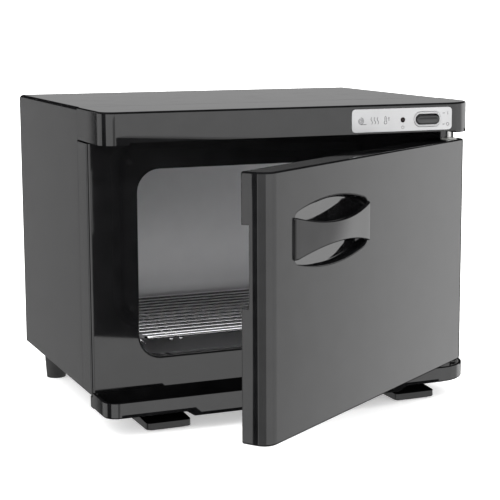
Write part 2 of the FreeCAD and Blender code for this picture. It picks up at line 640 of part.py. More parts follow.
def door_insulation():
    """Foam core, cut away round the handle cup."""
    x0, x1, z0, z1 = pocket_outline(-0.6)
    core = rounded_block(x0, x1, z0, z1, 5.0, "XZ", DOOR_FRONT + WALL + 0.2, DOOR_BACK - WALL - 0.2)
    return core.cut(barrel_plug((-4, -4), (-4, -4), DOOR_FRONT, DOOR_BACK))


def door_gasket():
    """Rubber seal round the back of the door, with a slot for the magnet strip."""
    x, reach = GASKET_OUTER_X, FRAME_Y - 0.3
    ring = rounded_block(-x, x, GASKET_Z0, GASKET_Z1, GASKET_R, "XZ", DOOR_BACK, reach)
    w = GASKET_W
    ring = ring.cut(rounded_block(-x + w, x - w, GASKET_Z0 + w, GASKET_Z1 - w, GASKET_R - w,
                                  "XZ", DOOR_BACK - 1, reach + 1))
    ring = fillet_where(ring, 2.5, lambda p, e: near(p.y, reach))
    return ring.cut(box(-x + 2.0, -x + 6.0, DOOR_BACK + 2, DOOR_BACK + 6, 75, 200))


def gasket_magnet():
    """Flexible magnet strip inside the seal at the free side."""
    x = GASKET_OUTER_X
    return box(-x + 2.1, -x + 5.9, DOOR_BACK + 2.1, DOOR_BACK + 5.9, 75.1, 199.9)


def strike_strip():
    """Steel strip behind the frame face that the magnet pulls on."""
    y = FRAME_Y + FRAME_T + GAP
    return box(-150, -136, y, y + 1.5, 62, 212)


def handle_cup():
    """Finger bowl behind the opening in the door skin."""
    y0 = DOOR_FRONT + 0.4
    outer = barrel_plug((0.15, 0.15), (7, 6), y0, y0 + CUP_DEPTH)
    inner = barrel_plug((1.75, 1.75), (9, 8), y0 - 0.01, y0 + CUP_DEPTH - 2.0)
    return outer.cut(inner)


def handle_grip():
    """Bowed grip that fills the bowl's opening from end to end, narrow in the middle."""
    half = CUP_HALF_W - 0.15
    x0, x1 = GRIP_X - half, GRIP_X + half
    y_end, y_mid = DOOR_FRONT - GRIP_END_PROUD, DOOR_FRONT - GRIP_BULGE
    outer = Part.Arc(V(x0, y_end, 0), V(GRIP_X, y_mid, 0), V(x1, y_end, 0)).toShape()
    back = y_end + GRIP_T
    inner = Part.Arc(V(x1, back, 0), V(GRIP_X, y_mid + GRIP_T, 0), V(x0, back, 0)).toShape()
    ends = [Part.LineSegment(V(x1, y_end, 0), V(x1, back, 0)).toShape(),
            Part.LineSegment(V(x0, back, 0), V(x0, y_end, 0)).toShape()]
    band = Part.Face(Part.Wire([outer, ends[0], inner, ends[1]])).extrude(V(0, 0, 60))
    band.translate(V(0, 0, GRIP_Z - 30))
    band = fillet_where(band, GRIP_END_R, lambda p, e: near(p.y, y_end) and near(e.Length, 60))
    top, low = GRIP_Z + GRIP_END_HALF, GRIP_Z - GRIP_END_HALF
    waist_top, waist_low = V(GRIP_X, 0, GRIP_Z + GRIP_WAIST_HALF), V(GRIP_X, 0, GRIP_Z - GRIP_WAIST_HALF)
    edge_top = Part.Arc(V(x0, 0, top), waist_top, V(x1, 0, top)).toShape()
    edge_low = Part.Arc(V(x1, 0, low), waist_low, V(x0, 0, low)).toShape()
    caps = [Part.LineSegment(V(x1, 0, top), V(x1, 0, low)).toShape(),
            Part.LineSegment(V(x0, 0, low), V(x0, 0, top)).toShape()]
    waisted = Part.Face(Part.Wire([edge_top, caps[0], edge_low, caps[1]])).extrude(V(0, 40, 0))
    return band.common(waisted).cut(door_shell()).cut(handle_cup())


def hinge_bush(outer_z, inward):
    """Nylon bush let into the door's end, with a flange outside it."""
    flange_t = 0.9
    tip = outer_z + inward * (BUSH_LENGTH - 0.2)
    face = outer_z - inward * flange_t
    sleeve = rod(V(HINGE_X, HINGE_Y, face), V(HINGE_X, HINGE_Y, tip), BUSH_R)
    flange = rod(V(HINGE_X, HINGE_Y, face), V(HINGE_X, HINGE_Y, outer_z), BUSH_FLANGE_R)
    bore = rod(V(HINGE_X, HINGE_Y, face - inward), V(HINGE_X, HINGE_Y, tip + inward), PIN_R + PIN_CLEARANCE)
    return join([sleeve, flange]).cut(bore)


def upper_hinge_bracket():
    plate = rounded_block(HINGE_X - 16, HINGE_X + 8, 14, 44, 4.0, "XY", TOP_BRACKET_Z, TOP_BRACKET_Z + 2)
    return plate.cut(rod(V(HINGE_X, HINGE_Y, 240), V(HINGE_X, HINGE_Y, 260), PIN_R))


def upper_hinge_pin():
    tip = V(HINGE_X, HINGE_Y, DOOR_Z1 - BUSH_LENGTH + 1)
    shoulder = V(HINGE_X, HINGE_Y, TOP_BRACKET_Z + 2)
    return rod(tip, shoulder, PIN_R).fuse(rod(shoulder, shoulder + V(0, 0, 2), 4.5)).removeSplitter()


def lower_hinge_bracket():
    top = LOW_BRACKET_Z + BRACKET_T
    plate = rounded_block(HINGE_X - 15, HINGE_X + 9, 14, 70, 4.0, "XY", LOW_BRACKET_Z, top)
    return plate.cut(rod(V(HINGE_X, HINGE_Y, 20), V(HINGE_X, HINGE_Y, 40), PIN_R))


def lower_hinge_pin():
    return rod(V(HINGE_X, HINGE_Y, LOW_BRACKET_Z), V(HINGE_X, HINGE_Y, DOOR_Z0 + BUSH_LENGTH - 1), PIN_R)


# ---- fasteners ------------------------------------------------------------------------------------------
def rear_panel_screws():
    """Screws round the rear panel."""
    places = [(x, z) for x in (-160, 0, 160) for z in (36, 259)] + [(-160, 148), (160, 148)]
    return Part.makeCompound([screw(V(x, CASE_D, z), V(0, -1, 0), 3.4, 1.6, 8) for x, z in places])


def foot_screws():
    """Screws that hold the feet to the base pan."""
    screws = []
    for side in (-1, 1):
        screws.append(screw(V(side * FOOT_X, 64, BASE_Z1), V(0, 0, -1), 3.2, 1.5, 12))
        screws.append(screw(V(side * REAR_FOOT_X, REAR_FOOT_Y, 8), V(0, 0, 1), 3.4, 1.6, BASE_Z1 - 6.5))
    return Part.makeCompound(screws)


def guide_screws():
    """Screws that hold the tray guides to the base pan."""
    return Part.makeCompound([screw(V(side * TONGUE_X, y, BASE_Z1), V(0, 0, -1), 2.8, 1.4, 6)
                              for side in (-1, 1) for y in (78, 91)])


def hinge_screws():
    """Screws that hold the two hinge brackets."""
    screws = []
    for x in (HINGE_X - 10, HINGE_X + 4):
        screws.append(screw(V(x, 59, LOW_BRACKET_Z + BRACKET_T), V(0, 0, -1), 2.6, 1.4, 2.8, 1.2))
        screws.append(screw(V(x, 36, TOP_BRACKET_Z + 2), V(0, 0, -1), 2.6, 1.3, 4, 1.2))
    return Part.makeCompound(screws)


def door_screws():
    """Screws at the corners of the door's inner panel."""
    x0, x1, z0, z1 = pocket_outline(0)
    reach = 20
    places = [(x, z) for x in (x0 + reach, x1 - reach) for z in (z0 + reach, z1 - reach)]
    return Part.makeCompound([screw(V(x, DOOR_BACK, z), V(0, -1, 0), 3.0, 1.5, 10, 1.4) for x, z in places])


# ---- the assembly -----------------------------------------------------------------------------------------
CABINET_NODES = {
    "outer_casing": outer_casing, "rear_panel": rear_panel, "base_pan": base_pan, "front_frame": front_frame,
    "control_fascia": control_fascia, "chamber_liner": chamber_liner, "insulation_jacket": insulation_jacket,
    "heater_mat": heater_mat, "thermostat": thermostat, "thermal_fuse": thermal_fuse,
    "terminal_block": terminal_block, "wiring_harness": wiring_harness, "cord_gland": cord_gland,
    "gland_nut": gland_nut, "control_plate": control_plate, "switch_housing": switch_housing,
    "switch_pivot": switch_pivot, "rocker_switch": rocker_switch, "indicator_lens": indicator_lens,
    "indicator_led": indicator_led, "drip_tray": drip_tray, "tray_guides": tray_guides,
    "front_foot_left": lambda: mirrored(front_foot()), "front_foot_right": front_foot,
    "front_foot_pads": front_foot_pads, "rear_foot_left": lambda: mirrored(rear_foot()),
    "rear_foot_right": rear_foot, "wire_rack": wire_rack, "strike_strip": strike_strip,
    "upper_hinge_bracket": upper_hinge_bracket, "upper_hinge_pin": upper_hinge_pin,
    "lower_hinge_bracket": lower_hinge_bracket, "lower_hinge_pin": lower_hinge_pin,
    "rear_panel_screws": rear_panel_screws, "foot_screws": foot_screws, "guide_screws": guide_screws,
    "hinge_screws": hinge_screws,
}
DOOR_NODES = {
    "door_shell": door_shell, "door_inner_panel": door_inner_panel, "door_insulation": door_insulation,
    "door_gasket": door_gasket, "gasket_magnet": gasket_magnet, "handle_cup": handle_cup,
    "handle_grip": handle_grip, "upper_hinge_bush": lambda: hinge_bush(DOOR_Z1, -1),
    "lower_hinge_bush": lambda: hinge_bush(DOOR_Z0, 1), "door_screws": door_screws,
}


def save(name, shape):
    shape.translate(PLACE)
    shape.exportStep("parts/" + name + ".step")
    box_now = shape.BoundBox
    print(f"{name:22s} solids {len(shape.Solids)} valid {shape.isValid()} volume {shape.Volume:10.1f} "
          f"y {box_now.YMin:8.2f} {box_now.YMax:8.2f} z {box_now.ZMin:7.2f} {box_now.ZMax:7.2f}")


os.makedirs("parts", exist_ok=True)
for node, make in CABINET_NODES.items():
    save(node, make())
for node, make in DOOR_NODES.items():
    piece = make()
    piece.rotate(PIVOT, V(0, 0, 1), DOOR_REST)
    save(node, piece)
print("hinge axis", PIVOT + PLACE, "rocker axis", V(0, ROCKER_PIVOT_Y, CONTROL_Z) + PLACE)
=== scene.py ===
import json
import math
import random

import bmesh
import bpy
from mathutils import Matrix, Vector


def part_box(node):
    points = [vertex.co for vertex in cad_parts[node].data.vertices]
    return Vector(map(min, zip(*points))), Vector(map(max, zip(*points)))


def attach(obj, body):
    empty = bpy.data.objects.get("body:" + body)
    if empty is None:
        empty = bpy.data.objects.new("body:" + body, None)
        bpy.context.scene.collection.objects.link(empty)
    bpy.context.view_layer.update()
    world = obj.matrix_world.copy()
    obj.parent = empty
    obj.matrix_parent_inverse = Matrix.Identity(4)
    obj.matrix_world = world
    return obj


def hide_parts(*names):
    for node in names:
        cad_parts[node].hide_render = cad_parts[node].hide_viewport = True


# Hot towel cabinet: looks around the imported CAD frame. Sizes are millimetres in "cabinet coordinates":
# x from the middle, y back from the fascia's front face, z up from the standing surface.

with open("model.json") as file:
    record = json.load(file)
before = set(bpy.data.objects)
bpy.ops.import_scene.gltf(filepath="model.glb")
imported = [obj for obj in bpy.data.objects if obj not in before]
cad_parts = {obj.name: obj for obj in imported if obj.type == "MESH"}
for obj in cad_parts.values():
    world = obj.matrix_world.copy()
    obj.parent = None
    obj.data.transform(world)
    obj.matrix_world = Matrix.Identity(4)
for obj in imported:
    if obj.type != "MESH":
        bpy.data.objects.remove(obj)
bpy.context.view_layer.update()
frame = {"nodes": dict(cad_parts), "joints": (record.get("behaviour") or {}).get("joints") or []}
scene = bpy.context.scene
random.seed(7)

MM = 0.001
CASE_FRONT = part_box("control_fascia")[0].y
HINGE = next(joint for joint in frame["joints"] if joint["name"] == "door_hinge")
DOOR_ANGLE = math.radians(-HINGE["range_deg"][0])
HINGE_POINT = Vector((HINGE["pos_m"][0], HINGE["pos_m"][1], 0))

# Door, handle and gasket, as they are with the door shut.
DOOR_FRONT = 10.2
DOOR_BACK = 34.2
GRIP_X = -75.5
GRIP_Z = 183.5
CUP_HALF_W = 57.4
CUP_HALF_H = 27.0
CUP_CORNER_R = 8.0
CUP_ARC_R = 200.0
BOWL_DEPTH = 10.0
BOWL_END_T = 0.88
BOWL_FILLET = 1.5
RIM_R = 1.6
GRIP_BULGE = 8.0
GRIP_END_PROUD = 3.0
GRIP_END_REACH = 3.2
GRIP_T = 4.0
GRIP_END_HALF = 16.2
GRIP_WAIST_HALF = 8.3
GRIP_EDGE_R = 1.1
BOWL_CLEAR = 0.05
ROUND_SHARE = 0.45       # the most of the bowl's depth that one rounding may take

# Controls. Outlines are half-widths and half-heights, and a profile's points are (inset, y).
PLATE_FRONT = -0.3
CONTROL_Z = 256.2
ROCKER_X = 121.5
ROCKER_HALF_W = 11.5
ROCKER_HALF_H = 4.1
ROCKER_PROFILE = [(0.0, 6.0), (0.0, -0.4), (0.12, -1.0), (0.45, -1.5), (1.0, -1.75), (1.8, -1.75), (2.6, -1.6),
                  (3.4, -1.5)]
BEZEL_OUTER = (13.5, 6.7)
BEZEL_INNER = (11.9, 4.5)
BEZEL_CHAMFER = 0.3
BEZEL_LEDGE = 0.15
BODY_PROFILE = [(0.0, 2.7), (0.0, 20.0), (3.0, 20.0), (3.0, 12.0)]
BODY_CORNER_R = 1.0
BODY_WALL = 0.8

# Signs on the control plate: where each stands and how wide its strokes are.
TOWEL_SIGN_X = 56.0
WAVE_SIGNS_X = (66.5, 69.5, 72.5)
THERMOMETER_X = 80.0
LAMP_X = 97.0
DASH_X = (136.6, 138.8)
ON_OFF_X = 141.8
SIGN_PEN = 0.42
SCALE_PEN = 0.36
POWER_PEN = 0.34
DASH_PEN = 0.5
ON_OFF_PEN = 0.4
INK_PROUD = 0.06
INK_SUNK = 0.01

# Screws. The shoulder, the cross and its depth are shares of the head's height or radius.
CASE_D = 275.0
PANEL_SCREW_R = 3.4
DOOR_SCREW_R = 3.0
DOOR_SCREW_T = 1.4
HEAD_SHOULDER = 0.45
CROSS_ARM = 0.58
CROSS_SLOT = 0.13
CROSS_DEPTH = 0.5

# Rack and door seal.
RACK_HALF_W = 125.0
RACK_Y0 = 60.5
RACK_Y1 = 228.0
RACK_Z = 69.0
RACK_RODS = 13
RACK_RIM_R = 2.0
RACK_ROD_R = 1.3
RACK_RUNNER_R = 1.5
RACK_FOOT_Z = 58.9
RACK_CORNER_R = 12
RACK_RUNNERS_X = (-98.0, -89.0, 89.0, 98.0)
RACK_RUNNER_DROP = 1.2
RACK_LEG_R = 1.8
RACK_LEG_INSET = 20
RACK_LEG_LEAN = 9
RACK_LEG_BOW = 1.2
WIRE_END_TRIM = [(0.0, 1.0), (0.1, 0.97), (0.16, 0.88)]
SEAL_W = 8.0
SEAL_HALF_W = 143.0
SEAL_Z0 = 44.5
SEAL_Z1 = 229.0
SEAL_R = 26.0
SEAL_FRONT = 43.7


def place(x, y, z):
    """Cabinet coordinates to row metres."""
    return Vector((x * MM, CASE_FRONT + y * MM, z * MM))


def on_door(x, y, z):
    """The same, for a point of the door given with the door shut."""
    turn = Matrix.Rotation(DOOR_ANGLE, 3, "Z")
    return HINGE_POINT + turn @ (place(x, y, z) - HINGE_POINT)


# ---- camera, light and stage ------------------------------------------------------------------------
def add_camera():
    data = bpy.data.cameras.new("camera")
    data.lens = 104.6
    data.sensor_width = 36.0
    data.shift_x = -0.08
    data.shift_y = -0.02
    data.clip_start = 0.05
    camera = bpy.data.objects.new("camera", data)
    scene.collection.objects.link(camera)
    camera.location = (-0.5061, -1.17546, 0.35047)
    camera.rotation_euler = (math.radians(90 - 8.98), 0, math.radians(-23.87))
    scene.camera = camera


class Nodes:
    """Short way to build a node tree: add a node, set its inputs by name, link sockets."""

    def __init__(self, tree):
        self.tree = tree

    def add(self, kind, settings=None, **inputs):
        node = self.tree.nodes.new(kind)
        for key, value in (settings or {}).items():
            setattr(node, key, value)
        for key, value in inputs.items():
            self.put(node, key.replace("_", " "), value)
        return node

    def put(self, node, name, value):
        socket = node.inputs[int(name)] if name.isdigit() else node.inputs[name]
        if isinstance(value, bpy.types.NodeSocket):
            self.tree.links.new(value, socket)
        else:
            socket.default_value = value

    def math(self, operation, first, second=0.0):
        node = self.add("ShaderNodeMath", {"operation": operation})
        self.put(node, "0", first)
        self.put(node, "1", second)
        return node.outputs[0]

    def span(self, value, from_min, from_max, to_min, to_max, smooth=False):
        node = self.add("ShaderNodeMapRange", {"interpolation_type": "SMOOTHSTEP" if smooth else "LINEAR"})
        for name, number in (("Value", value), ("From Min", from_min), ("From Max", from_max),
                             ("To Min", to_min), ("To Max", to_max)):
            self.put(node, name, number)
        return node.outputs["Result"]

    def mix(self, factor, first, second):
        node = self.add("ShaderNodeMix", {"data_type": "RGBA"})
        self.put(node, "0", factor)
        self.put(node, "6", first)
        self.put(node, "7", second)
        return node.outputs[2]


# How bright the studio's wall of light is, by compass direction in degrees from +X, counter-clockwise. Set
# for the photo's side.
WALL_OF_LIGHT = [(-180, 1.7), (-150, 2.0), (-60, 2.0), (-25, 1.6), (0, 1.15), (11, 1.9), (22, 1.4), (36, 1.15),
                 (44, 0.2), (52, 0.2), (56, 0.36), (110, 0.36), (130, 0.9), (150, 1.3), (180, 1.7)]
WALL_MAX = 2.0
WALL_LOW = (-0.38, -0.31)
WALL_HIGH = (0.12, 0.19)
ROOM_LIGHT = 2.3
FLOOR_GLOW = 0.42
FLOOR_REACH = 9.0

# Cards, all in metres: how far out from the part they stand by, how far they reach, and their levels.
LEFT_CARD_OUT = 0.195
LEFT_CARD_Y = (-0.104, 0.034)
LEFT_CARD_Z = (-0.3, 0.6)
DOOR_CARD_Z = (-0.05, 0.25)
FREE_CARD_OUT = 0.05
FREE_CARD_Y = (-0.016, 0.0005)
HINGE_CARD_FRONT = (0.031, -0.004)
HINGE_CARD_BACK = (0.018, 0.028)
HINGE_CARD_Z = (0.019, 0.243)
SIDE_CARD_OUT = 0.014
SIDE_CARD_Y = (0.060, 0.092)
SIDE_CARD_Z = (-0.05, 0.3)
SIDE_CARD_LEVELS = (0.06, 0.36)
CORNER_CARD_R = 0.1
CORNER_CARD_TURN = (203, 262)
CORNER_CARD_LEVEL = 0.9
UNDER_TRAY_AHEAD = 0.001
# Cards that face the front: name, how far behind the fascia's front, x limits, z limits, level.
FRONT_CARDS = [("card_in_tray", 0.045, (-0.165, 0.145), (0.012, 0.034), 0.0),
               ("card_rack", 0.056, (-0.124, 0.124), (0.0735, 0.082), 2.5),
               ("card_over_door", 0.036, (0.08, 0.165), (0.222, 0.2445), 0.0)]
# In cabinet coordinates: two edges of the door and its corner (x, y), and the outline under the tray (x, z).
FREE_EDGE = (-168, 21.2)
HINGE_EDGE = (170.5, 21.7)
DOOR_CORNER = (-157, 21.5)
UNDER_TRAY = [(-162, 8.5), (138, 8.5), (138, 19.3), (97, 19.3), (92, 14.8), (-92, 14.8), (-97, 19.3),
              (-162, 19.3)]
NOT_REFLECTED = ("drip_tray", "hinge_screws", "upper_hinge_bracket")


def add_world():
    """White room, with a band of softboxes round the horizon that only the glossy surfaces see."""
    world = bpy.data.worlds.new("studio")
    world.use_nodes = True
    scene.world = world
    kit = Nodes(world.node_tree)
    world.node_tree.nodes.clear()
    direction = kit.add("ShaderNodeTexCoord").outputs["Generated"]
    parts = kit.add("ShaderNodeSeparateXYZ", Vector=direction)
    turn = kit.math("ARCTAN2", parts.outputs["Y"], parts.outputs["X"])
    ramp = kit.add("ShaderNodeValToRGB", Fac=kit.span(turn, -math.pi, math.pi, 0.0, 1.0))
    ramp.color_ramp.interpolation = "EASE"
    stops = ramp.color_ramp.elements
    while len(stops) > 1:
        stops.remove(stops[-1])
    for i, (degrees, level) in enumerate(WALL_OF_LIGHT):
        stop = stops[0] if i == 0 else stops.new((degrees + 180) / 360)
        stop.position = (degrees + 180) / 360
        grey = level / WALL_MAX
        stop.color = (grey, grey, grey, 1)
    up = parts.outputs["Z"]
    low = kit.span(up, *WALL_LOW, 0.0, 1.0, smooth=True)
    high = kit.span(up, *WALL_HIGH, 1.0, 0.0, smooth=True)
    wall = kit.math("MULTIPLY", kit.math("MULTIPLY", ramp.outputs["Color"], low), high)
    wall = kit.math("MULTIPLY", wall, WALL_MAX)
    path = kit.add("ShaderNodeLightPath")
    glossy = path.outputs["Is Glossy Ray"]
    room = kit.math("MULTIPLY", kit.math("SUBTRACT", 1.0, glossy), ROOM_LIGHT)
    strength = kit.math("ADD", room, kit.math("MULTIPLY", wall, glossy))
    back = kit.add("ShaderNodeBackground", Color=(1, 1, 1, 1), Strength=strength)
    out = kit.add("ShaderNodeOutputWorld")
    world.node_tree.links.new(back.outputs[0], out.inputs["Surface"])


def flat_panel(name, corners):
    mesh = bpy.data.meshes.new(name)
    mesh.from_pydata(corners, [], [tuple(range(len(corners)))])
    panel = bpy.data.objects.new(name, mesh)
    scene.collection.objects.link(panel)
    return panel


def add_floor():
    """White paper that glows a little, so that its shadow is pale. Glossy surfaces don't see it."""
    corners = [(x * FLOOR_REACH, y * FLOOR_REACH, 0) for x, y in ((-1, -1), (1, -1), (1, 1), (-1, 1))]
    floor = flat_panel("floor", corners)
    paper = bpy.data.materials.new("floor_paper")
    paper.use_nodes = True
    shader = paper.node_tree.nodes["Principled BSDF"]
    shader.inputs["Base Color"].default_value = (0.93, 0.93, 0.93, 1)
    shader.inputs["Roughness"].default_value = 0.9
    shader.inputs["Specular IOR Level"].default_value = 0.0
    shader.inputs["Emission Color"].default_value = (1, 1, 1, 1)
    shader.inputs["Emission Strength"].default_value = FLOOR_GLOW
    floor.data.materials.append(paper)
    floor.visible_glossy = False


def add_card(name, corners, level=0.0, fade=None):
    """Card seen only in glossy surfaces, of one level all over. With fade, which is the first and last y and
    the levels there, it goes from one level to the other instead."""
    card = flat_panel(name, corners)
    paper = bpy.data.materials.new(name + "_paper")
    paper.use_nodes = True
    kit = Nodes(paper.node_tree)
    paper.node_tree.nodes.clear()
    if fade:
        where = kit.add("ShaderNodeTexCoord").outputs["Object"]
        parts = kit.add("ShaderNodeSeparateXYZ", Vector=where)
        level = kit.span(parts.outputs["Y"], *fade, smooth=True)
    glow = kit.add("ShaderNodeEmission", Strength=level)
    out = kit.add("ShaderNodeOutputMaterial")
    paper.node_tree.links.new(glow.outputs[0], out.inputs["Surface"])
    card.data.materials.append(paper)
    card.visible_camera = False
    card.visible_diffuse = False
    card.visible_transmission = False
    card.visible_shadow = False


def upright(x0, y0, x1, y1, z0, z1):
    """Corners of an upright panel over the line from (x0, y0) to (x1, y1)."""
    return [(x0, y0, z0), (x1, y1, z0), (x1, y1, z1), (x0, y0, z1)]


def side_cards():
    """Black card far out on the left, and one close to the side that fades towards the back."""
    side = -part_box("control_fascia")[1].x
    x = side - LEFT_CARD_OUT
    y0, y1 = (CASE_FRONT + y for y in LEFT_CARD_Y)
    add_card("card_left", upright(x, y0, x, y1, *LEFT_CARD_Z))
    x = side - SIDE_CARD_OUT
    y0, y1 = (CASE_FRONT + y for y in SIDE_CARD_Y)
    add_card("card_fading_side", upright(x, y0, x, y1, *SIDE_CARD_Z), fade=(y0, y1, *SIDE_CARD_LEVELS))


def door_cards():
    """Black cards by the door's two upright edges, and a light one round its free corner."""
    edge = on_door(*FREE_EDGE, 0)
    x = edge.x - FREE_CARD_OUT
    y0, y1 = (edge.y + y for y in FREE_CARD_Y)
    add_card("card_free_edge", upright(x, y0, x, y1, *DOOR_CARD_Z))
    edge = on_door(*HINGE_EDGE, 0)
    (x0, y0), (x1, y1) = HINGE_CARD_FRONT, HINGE_CARD_BACK
    add_card("card_hinge_edge", upright(edge.x + x0, edge.y + y0, edge.x + x1, edge.y + y1, *HINGE_CARD_Z))
    centre = on_door(*DOOR_CORNER, 0)
    first, last = (centre + CORNER_CARD_R * Vector((math.cos(angle), math.sin(angle), 0))
                   for angle in map(math.radians, CORNER_CARD_TURN))
    add_card("card_door_corner", upright(first.x, first.y, last.x, last.y, *DOOR_CARD_Z), CORNER_CARD_LEVEL)


def front_cards():
    """Black cards under and in the tray and over the door, and a bright one for the rack's front rim."""
    y = CASE_FRONT - UNDER_TRAY_AHEAD
    add_card("card_under_tray", [(x * MM, y, z * MM) for x, z in UNDER_TRAY])
    for name, behind, (x0, x1), (z0, z1), level in FRONT_CARDS:
        y = CASE_FRONT + behind
        add_card(name, upright(x0, y, x1, y, z0, z1), level)


def add_cards():
    """Nine cards, placed for the photo's side, and the nodes that glossy surfaces must not see."""
    side_cards()
    door_cards()
    front_cards()
    for name in NOT_REFLECTED:
        frame["nodes"][name].visible_glossy = False


# ---- materials ----------------------------------------------------------------------------------------
def finish(name, colour, roughness, metallic=0.0, spread=0.0, grain=0.0, grain_size=0.4, stretch=(1, 1, 1),
           mottle=0.0, smudge_size=30.0, shine=0.5, matt_top=False):
    """Procedural finish. spread varies the roughness in soft smudges, mottle varies the colour,
    grain is the height in mm of a fine relief of grain_size mm, stretched along the axes for brushed metal.
    matt_top leaves the faces that look up without a shine; shine is the level of the others, and only
    counts with matt_top."""
    material = bpy.data.materials.new(name)
    material.use_nodes = True
    kit = Nodes(material.node_tree)
    shader = material.node_tree.nodes["Principled BSDF"]
    shader.inputs["Metallic"].default_value = metallic
    where = kit.add("ShaderNodeTexCoord").outputs["Object"]
    smudges = kit.add("ShaderNodeTexNoise", Vector=where, Scale=1000 / smudge_size, Detail=3.0,
                      Roughness=0.55)
    rough = kit.span(smudges.outputs["Fac"], 0.3, 0.7, max(roughness - spread, 0.0), roughness + spread)
    kit.put(shader, "Roughness", rough)
    dark = tuple(c * (1 - mottle) for c in colour)
    light = tuple(min(c * (1 + mottle), 1.0) for c in colour)
    blotches = kit.add("ShaderNodeTexNoise", Vector=where, Scale=1000 / (smudge_size * 0.6), Detail=2.0)
    fade = kit.span(blotches.outputs["Fac"], 0.3, 0.7, 0.0, 1.0)
    kit.put(shader, "Base Color", kit.mix(fade, (*dark, 1), (*light, 1)))
    if grain:
        scaled = kit.add("ShaderNodeMapping", Vector=where, Scale=stretch)
        relief = kit.add("ShaderNodeTexNoise", Vector=scaled.outputs[0], Scale=1000 / grain_size, Detail=3.0)
        bump = kit.add("ShaderNodeBump", Height=relief.outputs["Fac"], Strength=1.0, Distance=grain * MM)
        kit.put(shader, "Normal", bump.outputs["Normal"])
    if matt_top:
        facing = kit.add("ShaderNodeNewGeometry").outputs["Normal"]
        up = kit.add("ShaderNodeSeparateXYZ", Vector=facing).outputs["Z"]
        kit.put(shader, "Specular IOR Level", kit.span(up, 0.3, 0.6, shine, 0.0, smooth=True))
    return material


# Metres: how far behind the fascia's front the tray's gloss ends, and where its two ends begin.
TRAY_SKIN = (0.0009, 0.0013)
TRAY_LEFT_END = (-0.1635, -0.163)
TRAY_RIGHT_END = (0.143, 0.144)


def dull_trough(material):
    """Leaves the inside of the tray matt, so the trough reads as a dark gap behind its glossy front."""
    kit = Nodes(material.node_tree)
    shader = material.node_tree.nodes["Principled BSDF"]
    where = kit.add("ShaderNodeTexCoord").outputs["Object"]
    parts = kit.add("ShaderNodeSeparateXYZ", Vector=where)
    front = kit.span(parts.outputs["Y"], *(CASE_FRONT + y for y in TRAY_SKIN), 1.0, 0.0)
    ends = kit.math("MAXIMUM", kit.span(parts.outputs["X"], *TRAY_LEFT_END, 1.0, 0.0),
                    kit.span(parts.outputs["X"], *TRAY_RIGHT_END, 0.0, 1.0))
    skin = kit.math("MAXIMUM", front, ends)
    before = shader.inputs["Specular IOR Level"].links[0].from_socket
    kit.put(shader, "Specular IOR Level", kit.math("MULTIPLY", before, skin))


def make_finishes():
    return {
        "black_gloss": finish("black_gloss", (0.0045, 0.0045, 0.0048), 0.045, spread=0.02, mottle=0.3,
                              grain=0.0004, grain_size=6.0),
        "tray_gloss": finish("tray_gloss", (0.0045, 0.0045, 0.0048), 0.05, spread=0.02, mottle=0.3,
                             grain=0.0004, grain_size=6.0, matt_top=True),
        "foot_gloss": finish("foot_gloss", (0.004, 0.004, 0.0042), 0.08, spread=0.03, mottle=0.3,
                             grain=0.0006, grain_size=2.0, shine=0.3, matt_top=True),
        "black_enamel": finish("black_enamel", (0.0055, 0.0055, 0.0058), 0.07, spread=0.03, mottle=0.3,
                               grain=0.0008, grain_size=3.0),
        "rear_enamel": finish("rear_enamel", (0.02, 0.02, 0.021), 0.36, spread=0.06, mottle=0.25,
                              grain=0.012, grain_size=0.9),
        "black_moulding": finish("black_moulding", (0.009, 0.009, 0.0095), 0.12, spread=0.05, mottle=0.3,
                                 grain=0.001, grain_size=0.9),
        "zinc_steel": finish("zinc_steel", (0.52, 0.52, 0.51), 0.34, metallic=1.0, spread=0.1, mottle=0.12,
                             grain=0.003, grain_size=0.8, smudge_size=9.0),
        "dark_zinc": finish("dark_zinc", (0.05, 0.05, 0.05), 0.34, metallic=1.0, spread=0.08, mottle=0.2,
                            grain=0.003, grain_size=0.8, smudge_size=9.0),
        "silver_plate": finish("silver_plate", (0.53, 0.53, 0.535), 0.46, metallic=0.75, spread=0.05,
                               mottle=0.02, grain=0.002, grain_size=0.25, stretch=(0.03, 1, 1)),
        "liner_aluminium": finish("liner_aluminium", (0.80, 0.80, 0.81), 0.40, metallic=0.5, spread=0.02,
                                  mottle=0.015, grain=0.006, grain_size=0.35, stretch=(1, 0.02, 1)),
        "chrome_wire": finish("chrome_wire", (0.86, 0.86, 0.87), 0.12, metallic=1.0, spread=0.04, mottle=0.03),
        "rubber": finish("rubber", (0.014, 0.014, 0.014), 0.55, spread=0.08, mottle=0.25, grain=0.02,
                         grain_size=0.5),
        "white_nylon": finish("white_nylon", (0.72, 0.72, 0.69), 0.4, spread=0.08, mottle=0.05),
        "insulation": finish("insulation", (0.66, 0.60, 0.46), 0.9, spread=0.05, mottle=0.2, grain=0.5,
                             grain_size=2.5),
        "wire_sleeve": finish("wire_sleeve", (0.42, 0.05, 0.04), 0.45, spread=0.08, mottle=0.15, grain=0.05,
                              grain_size=0.9),
        "lamp": finish("lamp", (0.006, 0.001, 0.001), 0.16, spread=0.04, mottle=0.2),
        "rocker": finish("rocker", (0.018, 0.018, 0.0185), 0.30, spread=0.05, mottle=0.15, grain=0.003,
                         grain_size=0.4),
        "print": finish("print", (0.045, 0.045, 0.048), 0.6, spread=0.1, mottle=0.1),
    }


# Painted shade: below these heights the lining's colour fades to this dark grey, under the rack.
LOW_SHADE_Z = (0.056, 0.080)
LOW_SHADE_COLOUR = (0.16, 0.16, 0.165, 1)


